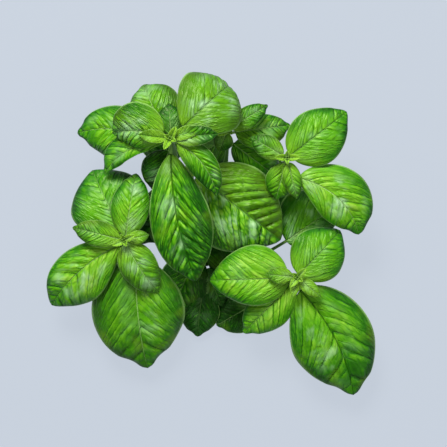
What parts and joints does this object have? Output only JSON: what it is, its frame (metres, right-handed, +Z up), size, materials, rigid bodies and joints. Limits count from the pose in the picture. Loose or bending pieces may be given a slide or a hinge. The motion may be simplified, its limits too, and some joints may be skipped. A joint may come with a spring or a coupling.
{
  "type": "basil bunch",
  "caption": "Bunch of fresh sweet basil laid down: cut sprigs side by side, their stems fanning out and curving up into rosettes of broad glossy green leaves.",
  "frame": {"origin": "middle of the bunch's footprint, on the surface that it lies on", "axes": "+Z up from the surface, -Y towards the cut ends of the stems, +X to the right as seen in the picture"},
  "size_m": [0.2046, 0.1984, 0.0705],
  "materials": {
    "leaf_back_left": "semi-gloss leaf",
    "leaf_left": "semi-gloss leaf",
    "leaf_right": "semi-gloss leaf",
    "leaf_front_right": "semi-gloss leaf",
    "leaf_back": "semi-gloss leaf",
    "leaf_middle": "semi-gloss leaf"
  },
  "bodies": {
    "root": {"sprig_back_left": "leaf_back_left", "sprig_left": "leaf_left", "sprig_right": "leaf_right", "sprig_front_right": "leaf_front_right", "sprig_back": "leaf_back", "sprig_middle": "leaf_middle"}
  },
  "joints": []
}
